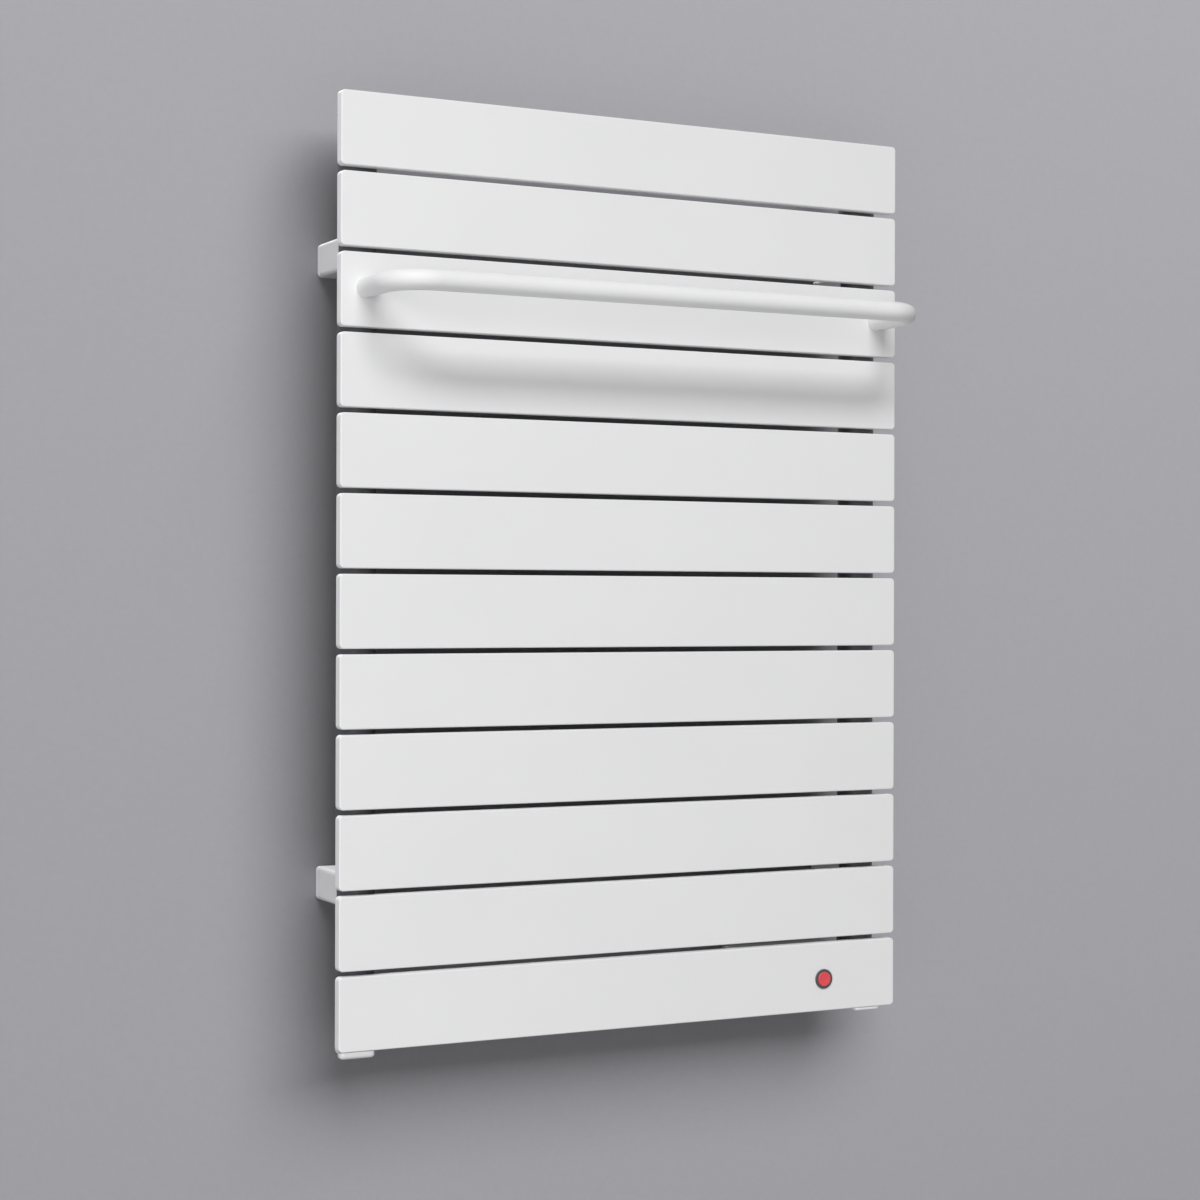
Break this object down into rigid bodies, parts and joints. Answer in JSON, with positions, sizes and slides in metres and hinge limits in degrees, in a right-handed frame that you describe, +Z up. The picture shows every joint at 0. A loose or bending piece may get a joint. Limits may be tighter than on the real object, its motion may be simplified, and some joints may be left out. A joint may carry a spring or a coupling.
{
  "type": "towel warmer",
  "caption": "Wall-hung electric towel warmer: white panel of stacked flat tubes on two headers, with a round towel bar in front, wall brackets behind and a red push button.",
  "frame": {"origin": "on the wall plane, at the centre of the four wall-screw holes", "axes": "+X to the right seen from the front, +Y into the wall, +Z up"},
  "size_m": [0.6, 0.1725, 0.8775],
  "materials": {
    "white_powder_coat": "satin white powder coat",
    "header_primer": "dark grey dip primer",
    "white_plastic": "moulded white plastic",
    "zinc_steel": "bright zinc plate",
    "element_steel": "drawn stainless sheath",
    "brass": "machined",
    "sealing_rubber": "moulded",
    "lead_sleeve": "silicone sleeve",
    "insulator_ceramic": "pressed ceramic",
    "box_plastic": "moulded dark grey plastic",
    "board_laminate": "solder resist",
    "module_resin": "cast resin",
    "block_plastic": "moulded",
    "bezel_plastic": "dark grey satin",
    "red_lens": "translucent red",
    "stem_nylon": "moulded nylon",
    "lamp_lens": "clear lens"
  },
  "bodies": {
    "panel": {"slat_01": "white_powder_coat", "slat_02": "white_powder_coat", "slat_03": "white_powder_coat", "slat_04": "white_powder_coat", "slat_05": "white_powder_coat", "slat_06": "white_powder_coat", "slat_07": "white_powder_coat", "slat_08": "white_powder_coat", "slat_09": "white_powder_coat", "slat_10": "white_powder_coat", "slat_11": "white_powder_coat", "control_slat": "white_powder_coat", "right_bottom_cap": "white_powder_coat", "towel_bar": "white_powder_coat", "left_header": "header_primer", "right_header": "header_primer", "port_collars": "header_primer", "left_top_cap": "header_primer", "right_top_cap": "header_primer", "saddle_upper_left": "white_plastic", "saddle_upper_right": "white_plastic", "saddle_lower_left": "white_plastic", "saddle_lower_right": "white_plastic", "wall_foot_upper_left": "white_plastic", "wall_foot_upper_right": "white_plastic", "wall_foot_lower_left": "white_plastic", "wall_foot_lower_right": "white_plastic", "terminal_cap": "white_plastic", "bulkhead_ring": "zinc_steel", "bar_posts": "zinc_steel", "bar_grub_screws": "zinc_steel", "saddle_screws": "zinc_steel", "bracket_grub_screws": "zinc_steel", "box_screws": "zinc_steel", "earth_stud": "zinc_steel", "return_spring": "zinc_steel", "heater_element": "element_steel", "heater_plug": "brass", "fill_plug": "brass", "terminal_pins": "brass", "fixed_contacts": "brass", "heater_washer": "sealing_rubber", "cable_grommet": "sealing_rubber", "heater_leads": "lead_sleeve", "terminal_insulator": "insulator_ceramic", "control_box": "box_plastic", "box_cover": "box_plastic", "circuit_board": "board_laminate", "power_module": "module_resin", "relay": "module_resin", "terminal_block": "block_plastic", "button_bezel": "bezel_plastic", "lock_nut": "bezel_plastic", "switch_housing": "bezel_plastic", "indicator_lamp": "lamp_lens"},
    "push_button": {"button_cap": "red_lens", "plunger": "stem_nylon", "contact_bridge": "brass"}
  },
  "joints": [
    {"name": "button_press", "type": "slide", "parent": "panel", "child": "push_button", "axis": [0, 1, 0], "range_m": [0, 0.0025], "stiffness_N_per_m": 800, "springref_m": -0.0015, "deforming": ["return_spring"]}
  ]
}
